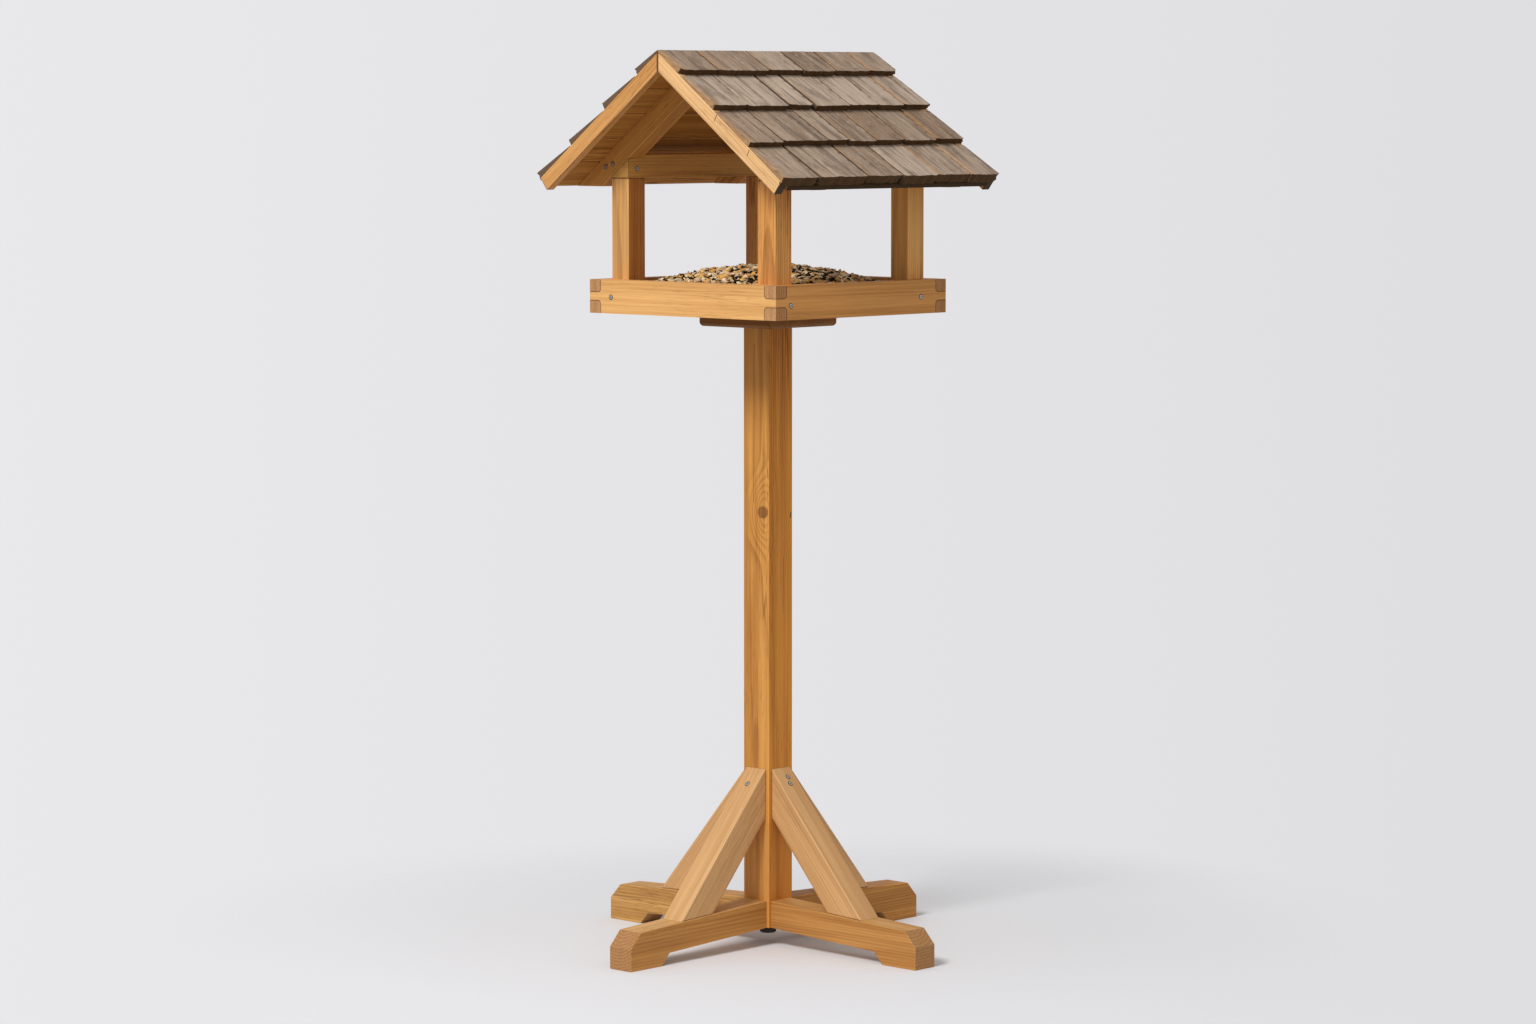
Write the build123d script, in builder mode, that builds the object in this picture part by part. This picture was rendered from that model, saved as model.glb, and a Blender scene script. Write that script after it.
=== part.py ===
"""A wooden bird table: braced foot, post, seed tray and shake roof. Millimetres, +Z up.

The origin is on the ground under the post. The gable front faces -Y and the ridge runs along Y.
"""

import os
from math import cos, radians, sin, tan

from build123d import *

# Post and base
post_side = 62.0
foot_reach = 378.0  # from the post's axis to the end of each foot
foot_width = 52.0
foot_height = 67.0  # at its chamfer
foot_fall = 15.0  # of the upper edge, from the post to the chamfer
foot_undercut = 21.0
foot_pad_length = 78.0
undercut_run = 20.0
foot_chamfer_run = 25.0
foot_chamfer_drop = 27.0
brace_width = 47.0
brace_depth = 58.0
brace_rise = 240.0  # of the upper face, above the foot at the post
brace_run = 217.0  # of the upper face, out from the post
stud_diameter = 30.0
stud_length = 14.0
stud_chamfer = 2.0

# Seed tray
rim_height = 1200.0
tray_width = 455.0
tray_depth = 445.0
board_height = 60.0
board_thickness = 28.0
floor_thickness = 12.0
key_height = 23.0
key_round = 7.0
plate_side = 178.0
plate_thickness = 24.0
plate_round = 8.0

# Seed, heaped clear of the boards and uprights
heap_crown = 23.0  # above the rim
heap_fall = 30.0  # from the crown to the middle of a side board
heap_clearance = 0.4

# Roof frame
upright_side = 42.0
upright_length = 228.0
wall_plate_height = 42.0
roof_pitch = 37.0  # degrees
rafter_depth = 37.5
rafter_thickness = 36.0
verge_overhang = 86.0  # from a rafter to the outer face of its barge board
sarking_thickness = 9.0
sarking_lift = 9.0  # above the outer edge of the wall plates, as the rafters carry it
sarking_count = 5
sarking_gap = 1.5
barge_drop = 19.5  # below the top of the sarking
barge_setback = 5.5  # from the eave
barge_thickness = 18.0
barge_gap = 2.4

# Split shakes: tapered boards in lapped courses
shake_exposure = 101.5
ridge_exposure = 64.0
shake_lap = 42.0
shake_butt = 11.0
shake_head = 2.5
shake_gap = 6.0  # the widest
shake_bedding = 0.2
ridge_gap = 2.0
eave_overhang = 2.0  # of the shakes, past the sarking
butt_unevenness = 4.0
course_names = ("ridge", "upper", "lower", "eave")
width_shares = (
    (0.17, 0.23, 0.16, 0.15, 0.16, 0.13),
    (0.15, 0.19, 0.11, 0.16, 0.14, 0.12, 0.13),
    (0.155, 0.21, 0.095, 0.125, 0.135, 0.145, 0.135),
    (0.16, 0.22, 0.16, 0.165, 0.16, 0.135),
)
gap_shares = (1.0, 0.35, 0.3, 0.5, 0.9, 0.3, 0.4, 0.6, 0.3, 0.75)
butt_shares = (0.1, 0.7, 0.3, 1.0, 0.0, 0.5, 0.85, 0.2, 0.6, 0.4, 0.95)

# The feet slope down from the post, with their undercuts parallel to their tops
pad_start = foot_reach - foot_pad_length
foot_slope = foot_fall / (foot_reach - foot_chamfer_run - post_side / 2)
foot_crown = foot_height + foot_fall
post_bottom = foot_undercut + foot_slope * (pad_start - undercut_run - post_side / 2)

# Levels and planes that the pieces share
tray_bottom = rim_height - board_height
post_top = tray_bottom - plate_thickness
floor_top = tray_bottom + floor_thickness
upright_top = floor_top + upright_length
wall_plate_top = upright_top + wall_plate_height
inner_x = tray_width / 2 - board_thickness
inner_y = tray_depth / 2 - board_thickness

# The roof hangs on the plane of the sarking's underside
pitch = radians(roof_pitch)
rafter_crown = wall_plate_top + sarking_lift + inner_x * tan(pitch)
sarking_crown = rafter_crown + sarking_thickness / cos(pitch)
roof_half = inner_y + verge_overhang
slope_length = ridge_exposure + (len(course_names) - 1) * shake_exposure
sarking_start = sarking_thickness * tan(pitch) + ridge_gap / 2 / cos(pitch)
sarking_end = slope_length - eave_overhang
sarking_half = roof_half - barge_thickness
barge_end = slope_length - barge_setback

# Each shake's underside tilts until its butt lies on the course below
shake_length = shake_exposure + shake_lap
shake_taper = (shake_butt - shake_head) / shake_length
shake_tilt = (shake_head + shake_taper * shake_lap) / shake_exposure
rest_height = shake_bedding + shake_tilt * shake_length

sides = {"left": -1, "right": 1}
ends = {"front": -1, "back": 1}
base_angles = {"front": -90, "right": 0, "back": 90, "left": 180}

os.makedirs("parts", exist_ok=True)


def save(piece, name):
    piece.part.label = name
    export_step(piece.part, f"parts/{name}.step")


def radial_plane(angle):
    """The upright plane through the post's axis, x outwards and y up."""
    outwards = Vector(1, 0, 0).rotate(Axis.Z, angle)
    return Plane(origin=(0, 0, 0), x_dir=outwards, z_dir=outwards.cross(Vector(0, 0, 1)))


def slope_plane(side, y):
    """The gable plane at y, with x down one slope of the sarking's top and y out of it."""
    down = (side * cos(pitch), 0, -sin(pitch))
    return Plane(origin=(0, y, sarking_crown), x_dir=down, z_dir=(0, -side, 0))


def plumb_cut(height, rise, setback):
    """How far down the slope a line of this height and rise meets the plumb cut at the ridge."""
    return (setback - height * sin(pitch)) / (cos(pitch) + rise * sin(pitch))


with BuildPart() as post:
    with BuildSketch(Plane.XY.offset(post_bottom)):
        Rectangle(post_side, post_side)
    extrude(amount=post_top - post_bottom)
save(post, "post")

with BuildPart() as base_stud:
    with BuildSketch(Plane.XY.offset(post_bottom)):
        Circle(stud_diameter / 2)
    extrude(amount=-stud_length)
    chamfer(base_stud.faces().sort_by(Axis.Z)[0].edges(), length=stud_chamfer)
save(base_stud, "base_stud")

# Four feet butt on the faces of the post, and a brace sits on each
for name, angle in base_angles.items():
    with BuildPart() as foot:
        with BuildSketch(radial_plane(angle)):
            with BuildLine():
                Polyline(
                    (post_side / 2, post_bottom),
                    (pad_start - undercut_run, foot_undercut),
                    (pad_start, 0),
                    (foot_reach, 0),
                    (foot_reach, foot_height - foot_chamfer_drop),
                    (foot_reach - foot_chamfer_run, foot_height),
                    (post_side / 2, foot_crown),
                    close=True,
                )
            make_face()
        extrude(amount=foot_width / 2, both=True)
    save(foot, f"foot_{name}")

    brace_steepness = brace_rise / brace_run + foot_slope
    plumb_length = brace_depth * (1 + brace_steepness**2) ** 0.5
    inner_run = (brace_rise - plumb_length) / (brace_steepness - foot_slope)
    with BuildPart() as brace:
        with BuildSketch(radial_plane(angle)):
            with BuildLine():
                Polyline(
                    (post_side / 2, foot_crown + brace_rise),
                    (post_side / 2 + brace_run, foot_crown - foot_slope * brace_run),
                    (post_side / 2 + inner_run, foot_crown - foot_slope * inner_run),
                    (post_side / 2, foot_crown + brace_rise - plumb_length),
                    close=True,
                )
            make_face()
        extrude(amount=brace_width / 2, both=True)
    save(brace, f"brace_{name}")

with BuildPart() as mounting_plate:
    with BuildSketch(Plane.XY.offset(post_top)):
        RectangleRounded(plate_side, plate_side, plate_round)
    extrude(amount=plate_thickness)
    fillet(mounting_plate.faces().sort_by(Axis.Z)[0].edges(), radius=plate_round)
save(mounting_plate, "mounting_plate")

with BuildPart() as tray_floor:
    with BuildSketch(Plane.XY.offset(tray_bottom)):
        Rectangle(2 * inner_x, 2 * inner_y)
    extrude(amount=floor_thickness)
save(tray_floor, "tray_floor")

# Keys lock the mitres at the top and bottom of each corner and show on both faces
keys = {}
key_levels = (tray_bottom + key_height / 2, rim_height - key_height / 2)
for end_name, end in ends.items():
    for side_name, side in sides.items():
        with BuildPart() as corner:
            with BuildSketch(Plane.XZ.offset(-end * tray_depth / 2)) as end_face:
                with Locations(*[(side * (inner_x + board_thickness / 2), z) for z in key_levels]):
                    Rectangle(board_thickness, key_height)
                inner = end_face.vertices().sort_by(Axis.X, reverse=side < 0)[:4]
                fillet(inner.sort_by(Axis.Y)[1:3], radius=key_round)
            extrude(amount=end * board_thickness)
            with BuildSketch(Plane.YZ.offset(side * tray_width / 2)) as side_face:
                with Locations(*[(end * (inner_y + board_thickness / 2), z) for z in key_levels]):
                    Rectangle(board_thickness, key_height)
                inner = side_face.vertices().sort_by(Axis.X, reverse=end < 0)[:4]
                fillet(inner.sort_by(Axis.Y)[1:3], radius=key_round)
            extrude(amount=-side * board_thickness, mode=Mode.INTERSECT)
        keys[end, side] = corner.part
        save(corner, f"corner_keys_{end_name}_{side_name}")

for name, end in ends.items():
    outer = end * tray_depth / 2
    with BuildPart() as board:
        with BuildSketch(Plane.XY.offset(tray_bottom)):
            with BuildLine():
                Polyline(
                    (-tray_width / 2, outer),
                    (tray_width / 2, outer),
                    (inner_x, end * inner_y),
                    (-inner_x, end * inner_y),
                    close=True,
                )
            make_face()
        extrude(amount=board_height)
        add([keys[end, side] for side in sides.values()], mode=Mode.SUBTRACT)
    save(board, f"tray_board_{name}")

for name, side in sides.items():
    outer = side * tray_width / 2
    with BuildPart() as board:
        with BuildSketch(Plane.XY.offset(tray_bottom)):
            with BuildLine():
                Polyline(
                    (outer, -tray_depth / 2),
                    (outer, tray_depth / 2),
                    (side * inner_x, inner_y),
                    (side * inner_x, -inner_y),
                    close=True,
                )
            make_face()
        extrude(amount=board_height)
        add([keys[end, side] for end in ends.values()], mode=Mode.SUBTRACT)
    save(board, f"tray_board_{name}")

# The heap is a shallow dome between the boards, notched round the uprights
with BuildPart() as seed_heap:
    heap_top = rim_height + heap_crown
    heap_radius = (inner_x**2 + heap_fall**2) / (2 * heap_fall)
    with BuildSketch(Plane.XY.offset(floor_top)):
        Rectangle(2 * (inner_x - heap_clearance), 2 * (inner_y - heap_clearance))
        with GridLocations(2 * inner_x - upright_side, 2 * inner_y - upright_side, 2, 2):
            notch = upright_side + 2 * heap_clearance
            Rectangle(notch, notch, mode=Mode.SUBTRACT)
    extrude(amount=heap_top - floor_top)
    with Locations((0, 0, heap_top - heap_radius)):
        Sphere(heap_radius, mode=Mode.INTERSECT)
save(seed_heap, "seed_heap")

for end_name, end in ends.items():
    for side_name, side in sides.items():
        with BuildPart() as upright:
            with BuildSketch(Plane.XY.offset(floor_top)):
                with Locations((side * (inner_x - upright_side / 2), end * (inner_y - upright_side / 2))):
                    Rectangle(upright_side, upright_side)
            extrude(amount=upright_length)
        save(upright, f"upright_{end_name}_{side_name}")

# Rafters stand over the uprights with their tails cut level. Barge boards close the verges up to the butts.
rafters = {}
barge_rise = rest_height - shake_bedding
tail_level = sarking_crown - sarking_end * sin(pitch) - sarking_thickness * cos(pitch)
for end_name, end in ends.items():
    for side_name, side in sides.items():
        top = -sarking_thickness
        bottom = top - rafter_depth
        level_cut = [(sarking_crown + height * cos(pitch) - tail_level) / sin(pitch) for height in (top, bottom)]
        with BuildPart() as rafter:
            with BuildSketch(slope_plane(side, end * (inner_y - rafter_thickness / 2))):
                with BuildLine():
                    Polyline(
                        (plumb_cut(top, 0, 0), top),
                        (level_cut[0], top),
                        (level_cut[1], bottom),
                        (plumb_cut(bottom, 0, 0), bottom),
                        close=True,
                    )
                make_face()
            extrude(amount=rafter_thickness / 2, both=True)
        rafters[end, side] = rafter.part
        save(rafter, f"rafter_{end_name}_{side_name}")

        with BuildPart() as barge_board:
            with BuildSketch(slope_plane(side, end * (roof_half - barge_thickness / 2))):
                with BuildLine():
                    Polyline(
                        (plumb_cut(barge_rise, 0, barge_gap / 2), barge_rise),
                        (barge_end, barge_rise),
                        (barge_end, -barge_drop),
                        (plumb_cut(-barge_drop, 0, barge_gap / 2), -barge_drop),
                        close=True,
                    )
                make_face()
            extrude(amount=barge_thickness / 2, both=True)
        save(barge_board, f"barge_board_{end_name}_{side_name}")

# Wall plates lie on the uprights, flush with them and cut to seat the rafters
for name, side in sides.items():
    with BuildPart() as wall_plate:
        with BuildSketch(Plane.XY.offset(upright_top)):
            with Locations((side * (inner_x - upright_side / 2), 0)):
                Rectangle(upright_side, 2 * inner_y)
        extrude(amount=wall_plate_height)
        add([rafters[end, side] for end in ends.values()], mode=Mode.SUBTRACT)
    save(wall_plate, f"wall_plate_{name}")

for name, side in sides.items():
    pitch_of_boards = (sarking_end - sarking_start + sarking_gap) / sarking_count
    with BuildPart() as sarking:
        with BuildSketch(slope_plane(side, 0)):
            for index in range(sarking_count):
                middle = sarking_start + (index + 1 / 2) * pitch_of_boards - sarking_gap / 2
                with Locations((middle, -sarking_thickness / 2)):
                    Rectangle(pitch_of_boards - sarking_gap, sarking_thickness)
        extrude(amount=sarking_half, both=True)
    save(sarking, f"sarking_{name}")

# Courses from the ridge down. The ridge course is cut plumb, the eave course is a thick wedge, and the end
# shakes of each are cut out over the barge boards.
for side_name, side in sides.items():
    for course, course_name in enumerate(course_names):
        nominal_butt = ridge_exposure + course * shake_exposure
        head = nominal_butt - shake_length
        under_rise = 0 if course_name == "eave" else shake_tilt
        top_rise = shake_tilt + shake_taper
        under_height = shake_bedding - under_rise * head
        top_height = shake_bedding + shake_head - top_rise * head
        under_start = max(head, plumb_cut(under_height, under_rise, ridge_gap / 2))
        top_start = max(head, plumb_cut(top_height, top_rise, ridge_gap / 2))
        shares = width_shares[course][::side]
        first_gap = course * len(shares) + side
        gaps = [shake_gap * gap_shares[(first_gap + i) % len(gap_shares)] for i in range(len(shares))]
        clear_length = 2 * roof_half - sum(gaps[:-1])
        start = -roof_half
        with BuildPart() as shakes:
            for index, share in enumerate(shares):
                width = clear_length * share / sum(shares)
                butt_share = butt_shares[(index + course * len(shares) + side) % len(butt_shares)]
                butt = nominal_butt - butt_unevenness * butt_share
                with BuildSketch(slope_plane(side, start + width / 2)):
                    with BuildLine():
                        Polyline(
                            (under_start, under_height + under_rise * under_start),
                            (butt, under_height + under_rise * butt),
                            (butt, top_height + top_rise * butt),
                            (top_start, top_height + top_rise * top_start),
                            close=True,
                        )
                    make_face()
                extrude(amount=width / 2, both=True)
                start += width + gaps[index]
            for end in ends.values():
                with BuildSketch(slope_plane(side, end * roof_half)):
                    with Locations((barge_end + shake_bedding, 0)):
                        Rectangle(2 * slope_length, 2 * rest_height, align=(Align.MAX, Align.CENTER))
                extrude(amount=barge_thickness + shake_bedding, both=True, mode=Mode.SUBTRACT)
        save(shakes, f"shakes_{side_name}_{course_name}")
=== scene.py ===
import math
import random

import bmesh
import bpy
from mathutils import Matrix, Vector, noise


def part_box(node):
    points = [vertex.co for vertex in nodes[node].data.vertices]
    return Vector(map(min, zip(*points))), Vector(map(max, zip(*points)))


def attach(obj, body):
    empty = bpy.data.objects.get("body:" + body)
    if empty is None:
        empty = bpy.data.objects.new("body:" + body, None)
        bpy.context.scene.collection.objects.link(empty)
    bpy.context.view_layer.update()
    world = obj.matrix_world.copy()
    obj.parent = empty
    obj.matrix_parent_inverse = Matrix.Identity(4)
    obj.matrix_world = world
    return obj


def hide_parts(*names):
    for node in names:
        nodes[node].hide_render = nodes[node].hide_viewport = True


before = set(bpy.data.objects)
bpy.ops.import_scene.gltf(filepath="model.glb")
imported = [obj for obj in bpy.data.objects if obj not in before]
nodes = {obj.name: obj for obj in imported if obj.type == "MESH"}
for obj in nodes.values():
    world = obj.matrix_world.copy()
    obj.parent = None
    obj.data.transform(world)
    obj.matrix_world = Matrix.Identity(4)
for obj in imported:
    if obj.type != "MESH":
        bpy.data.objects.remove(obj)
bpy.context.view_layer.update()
scene = bpy.context.scene
axisX, axisY, axisZ = Vector((1, 0, 0)), Vector((0, 1, 0)), Vector((0, 0, 1))
noiseMean = 0.5  # the middle of what a noise texture gives
print("frame loaded:", len(nodes), "nodes")


# shader maths: a wrapped socket, so that sums and products read as plain expressions
class Wire:
    def __init__(self, tree, socket=None):
        self.tree = tree
        self.socket = socket

    def node(self, kind, settings=None, values=None, output=0):
        made = self.tree.nodes.new("ShaderNode" + kind)
        for key, value in (settings or {}).items():
            setattr(made, key, value)
        for key, value in (values or {}).items():
            if isinstance(value, Wire):
                self.tree.links.new(value.socket, made.inputs[key])
            else:
                made.inputs[key].default_value = value
        return Wire(self.tree, made.outputs[output] if made.outputs else None)

    def math(self, operation, a, b=0.0):
        return self.node("Math", {"operation": operation}, {0: a, 1: b})

    def vector(self, operation, a, b=(0, 0, 0), output="Vector"):
        return self.node("VectorMath", {"operation": operation}, {0: a, 1: b}, output)

    def __add__(self, other):
        return self.math("ADD", self, other)

    def __sub__(self, other):
        return self.math("SUBTRACT", self, other)

    def __rsub__(self, other):
        return self.math("SUBTRACT", other, self)

    def __mul__(self, other):
        return self.math("MULTIPLY", self, other)

    def __truediv__(self, other):
        return self.math("DIVIDE", self, other)

    def __rtruediv__(self, other):
        return self.math("DIVIDE", other, self)

    def __pow__(self, other):
        return self.math("POWER", self, other)

    def __abs__(self):
        return self.math("ABSOLUTE", self)

    __radd__ = __add__
    __rmul__ = __mul__

    def fraction(self):
        return self.math("FRACT", self)

    def band(self, low, high):  # 0 below low, 1 above high, smooth between
        values = {"Value": self, "From Min": low, "From Max": high}
        return self.node("MapRange", {"interpolation_type": "SMOOTHSTEP"}, values)

    def attribute(self, name, output="Fac"):
        return self.node("Attribute", {"attribute_name": name}, {}, output)

    def place(self):
        return self.node("TexCoord", {}, {}, "Object")

    def part(self, axis):
        return self.node("SeparateXYZ", {}, {0: self}, axis)

    def stretch(self, *scales):
        return self.vector("MULTIPLY", self, scales)

    def pattern(self, facts):  # noise, drawn out by the scale in a look
        drawn = self.stretch(*facts["scale"])
        values = {"Vector": drawn, "Scale": 1.0, "Detail": facts["detail"], "Roughness": facts["rough"]}
        return self.node("TexNoise", {}, values)

    def share(self, facts):  # how much a pattern shows, between its two levels
        return self.band(*facts["levels"]) * facts["share"]

    def blend(self, colourA, colourB, mode="MIX"):  # self is the factor
        settings = {"data_type": "RGBA", "blend_type": mode}
        return self.node("Mix", settings, {0: self, 6: colourA, 7: colourB}, 2)


def newFinish(name):
    finish = bpy.data.materials.new(name)
    finish.use_nodes = True
    finish.node_tree.nodes.clear()
    return finish, Wire(finish.node_tree)


def closeFinish(wire, look, values, height):
    values["Specular IOR Level"] = look["specular"]
    if look["relief"]:
        bump = {"Height": height, "Distance": look["relief"], "Strength": 1.0}
        values["Normal"] = wire.node("Bump", {}, bump)
    surface = wire.node("BsdfPrincipled", {}, values)
    wire.node("OutputMaterial", {}, {"Surface": surface})


# oiled softwood: growth rings about a pith, fibre streaks, flecks, knots and drying cracks
timberLook = {
    # patterns: scale along, across and through the grain, levels they set in between, share in the colour
    "wander": {"scale": (1.6, 9, 9), "detail": 2.0, "rough": 0.5},
    "ringDepth": {"scale": (1.2, 22, 22), "detail": 2.0, "rough": 0.5, "levels": (0.4, 0.66), "share": 0.34},
    "fibre": {"scale": (6, 420, 420), "detail": 4.0, "rough": 0.7, "levels": (0.34, 0.68), "share": 0.34},
    "broad": {"scale": (1.3, 46, 46), "detail": 3.0, "rough": 0.6, "levels": (0.38, 0.64), "share": 0.55},
    "fleck": {"scale": (30, 560, 560), "detail": 1.0, "rough": 0.5, "levels": (0.60, 0.70), "share": 0.55},
    "patch": {"scale": (2.4, 8, 8), "detail": 1.0, "rough": 0.5, "levels": (0.42, 0.6)},
    "vein": {"scale": (1.4, 42, 42), "detail": 1.0, "rough": 0.5, "levels": (0.004, 0.02), "share": 0.5},
    "speckle": {"scale": (260, 700, 700), "detail": 3.0, "rough": 0.7, "levels": (0.42, 0.66), "share": 0.7},
    "lateShade": (0.44, 0.35, 0.27, 1),  # of the dark part of a growth ring
    "fibreShade": (0.52, 0.44, 0.36, 1),
    "broadShade": (0.66, 0.56, 0.44, 1),
    "wornShade": (1.14, 1.18, 1.26, 1),
    "endWood": (0.50, 0.255, 0.098, 1),
    "endRing": (0.22, 0.095, 0.034, 1),
    # dark weathering at eave ends, dark joints, and painted shade on the sarking under the shakes
    "weathered": (0.060, 0.034, 0.017, 1),
    "ringSpacing": 0.0056,
    "ringWander": 0.020,
    "ringRise": (0.3, 0.9),  # the part of a ring over which it darkens
    "ringFall": (0.92, 1.0),
    "faintest": 0.07,  # share of the rings where they show least
    "endRingShare": 0.4,
    "roughness": 0.6,
    "fibreRoughness": 0.25,
    "endRoughness": 0.2,
    "specular": 0.22,
    "relief": 0.0004,
    "fibreHeight": 0.6,
    "ringHeight": 0.25,
    "fleckDepth": 0.4,
}
sawnLook = {**timberLook, "specular": 0.03}  # the matt face of a sawn board
knotLook = {
    "coreScale": (1.15, 1, 0.12),  # long through the timber, as the branch was
    "swellScale": (0.5, 1, 0.12),
    "swell": 1.2,  # how far the rings give way, in reaches of the knot
    "wander": 0.5,  # this and the next three in radii of the knot
    "coreEdge": (0.75, 1.1),
    "rimWidth": 0.3,
    "ringWidth": 0.3,
    "ringLevels": (0.2, 0.9),
    "coreShare": 0.55,
    "ringShare": 0.3,
    "rimShare": 0.4,
    "shade": (0.15, 0.050, 0.012, 1),
}
crackLook = {
    "scale": (400, 400, 400), "detail": 2.0, "rough": 0.5,
    "edge": (0.3, 1.1),  # in widths of the crack
    "shade": (0.055, 0.022, 0.008, 1),
}


def knotSpot(wire, grain, wander, place, radius, reach):  # its dark spot, and how the rings swell
    look = knotLook
    offset = wire.vector("SUBTRACT", grain, place)
    away = wire.vector("LENGTH", offset.stretch(*look["coreScale"]), output="Value")
    spread = wire.vector("LENGTH", offset.stretch(*look["swellScale"]), output="Value")
    swell = wire.math("EXPONENT", spread * spread * (-1 / reach**2)) * (reach * look["swell"])
    uneven = away + wander * (radius * look["wander"])
    core = 1 - uneven.band(*[radius * edge for edge in look["coreEdge"]])
    rim = 1 - abs(uneven - radius).band(0, radius * look["rimWidth"])
    rings = (uneven / (radius * look["ringWidth"])).fraction().band(*look["ringLevels"])
    return core * (look["coreShare"] + rings * look["ringShare"]) + rim * look["rimShare"], swell


def crackLine(wire, grain, start, end, width):  # a thin dark split from start to end, in grain coordinates
    line = end - start
    offset = wire.vector("SUBTRACT", grain, start)
    reach = wire.vector("DOT_PRODUCT", offset, line / line.length_squared, "Value")
    inside = wire.math("MINIMUM", wire.math("MAXIMUM", reach, 0.0), 1.0)
    foot = wire.node("VectorMath", {"operation": "SCALE"}, {0: line, "Scale": inside})
    gap = wire.vector("DISTANCE", offset, foot, "Value")
    ragged = gap + (grain.pattern(crackLook) - noiseMean) * width
    return 1 - ragged.band(*[width * edge for edge in crackLook["edge"]])


def oiledTimber(name, knots=(), cracks=(), look=timberLook):
    finish, wire = newFinish(name)
    grain = wire.attribute("grain", "Vector")
    tint = wire.attribute("tint", "Color")
    figure = wire.attribute("figure")
    cut = wire.attribute("cutFace")
    worn = wire.attribute("wornEdge")
    weather = wire.attribute("weather")

    wander = grain.pattern(look["wander"]) - noiseMean
    across, depth = grain.part("Y"), grain.part("Z")
    ringRadius = (across * across + depth * depth) ** 0.5 + wander * look["ringWander"]
    knotCore = None
    for knot in knots:  # a branch through the timber lifts the rings around it
        spot, swell = knotSpot(wire, grain, wander, *knot)
        ringRadius = ringRadius + swell
        knotCore = spot if knotCore is None else wire.math("MAXIMUM", knotCore, spot)

    ring = (ringRadius / look["ringSpacing"]).fraction()
    late = ring.band(*look["ringRise"]) * (1 - ring.band(*look["ringFall"]))
    ringDepth = grain.pattern(look["ringDepth"]).share(look["ringDepth"])
    fibre = grain.pattern(look["fibre"])
    broad = grain.pattern(look["broad"]).share(look["broad"])
    patch = grain.pattern(look["patch"]).band(*look["patch"]["levels"])
    fleck = grain.pattern(look["fleck"]).band(*look["fleck"]["levels"]) * patch
    vein = 1 - abs(grain.pattern(look["vein"]) - noiseMean).band(*look["vein"]["levels"])

    flat = (late * figure * (look["faintest"] + ringDepth)).blend(tint, look["lateShade"], "MULTIPLY")
    flat = fibre.share(look["fibre"]).blend(flat, look["fibreShade"], "MULTIPLY")
    flat = (broad * figure).blend(flat, look["broadShade"], "MULTIPLY")
    flat = (fleck * figure * look["fleck"]["share"]).blend(flat, look["lateShade"], "MULTIPLY")
    flat = (vein * patch * figure * look["vein"]["share"]).blend(flat, look["lateShade"], "MULTIPLY")
    flat = worn.blend(flat, look["wornShade"], "MULTIPLY")
    endGrain = (late * look["endRingShare"]).blend(look["endWood"], look["endRing"])
    speckle = grain.pattern(look["speckle"]).share(look["speckle"])
    endGrain = speckle.blend(endGrain, look["endRing"])
    colour = cut.blend(flat, endGrain)
    if knotCore is not None:
        colour = knotCore.blend(colour, knotLook["shade"])
    for crack in cracks:
        colour = crackLine(wire, grain, *crack).blend(colour, crackLook["shade"])
    colour = weather.blend(colour, look["weathered"])

    roughness = look["roughness"] + (fibre - noiseMean) * look["fibreRoughness"] + cut * look["endRoughness"]
    height = fibre * look["fibreHeight"] + late * look["ringHeight"] - fleck * look["fleckDepth"]
    closeFinish(wire, look, {"Base Color": colour, "Roughness": roughness}, height)
    return finish


# weathered shakes: silvered faces, dark butts that are partly painted shade, fresh wood on the split sides,
# with painted light along one edge and painted shade down the gaps
shakeLook = {
    "groove": {"scale": (6, 130, 40), "detail": 4.0, "rough": 0.7, "levels": (0.36, 0.64), "share": 0.4},
    "thread": {"scale": (14, 560, 60), "detail": 3.0, "rough": 0.65, "levels": (0.46, 0.66), "share": 0.46},
    "streak": {"scale": (3.5, 60, 20), "detail": 3.0, "rough": 0.6, "levels": (0.5, 0.68), "share": 0.6},
    "cloud": {"scale": (16, 30, 10), "detail": 3.0, "rough": 0.6, "levels": (0.48, 0.7), "share": 0.45},
    "blotch": {"scale": (60, 110, 20), "detail": 3.0, "rough": 0.7, "levels": (0.52, 0.7), "share": 0.4},
    "splitThread": {"levels": (0.4, 0.7), "share": 0.5},  # the threads on a split side
    "buttBlotch": {"levels": (0.35, 0.7), "share": 0.6},
    "glowGroove": {"levels": (0.2, 0.55), "share": 1.0},
    "toneShare": 0.6,
    "silver": (0.550, 0.430, 0.332, 1),
    "brown": (0.290, 0.193, 0.128, 1),
    # stain: dark weather streaks on the faces, and painted shade on the split sides in the gaps
    "stain": (0.105, 0.070, 0.048, 1),
    "fresh": (0.46, 0.260, 0.122, 1),
    # butt: weathered end grain, darkened further as painted shade, since the butts face down
    "butt": (0.078, 0.039, 0.015, 1),
    "buttFleck": (0.135, 0.075, 0.034, 1),
    "roughness": 0.85,
    "specular": 0.12,
    "relief": 0.0014,
    "grooveHeight": 0.8,
    "threadHeight": 0.5,
}


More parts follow.
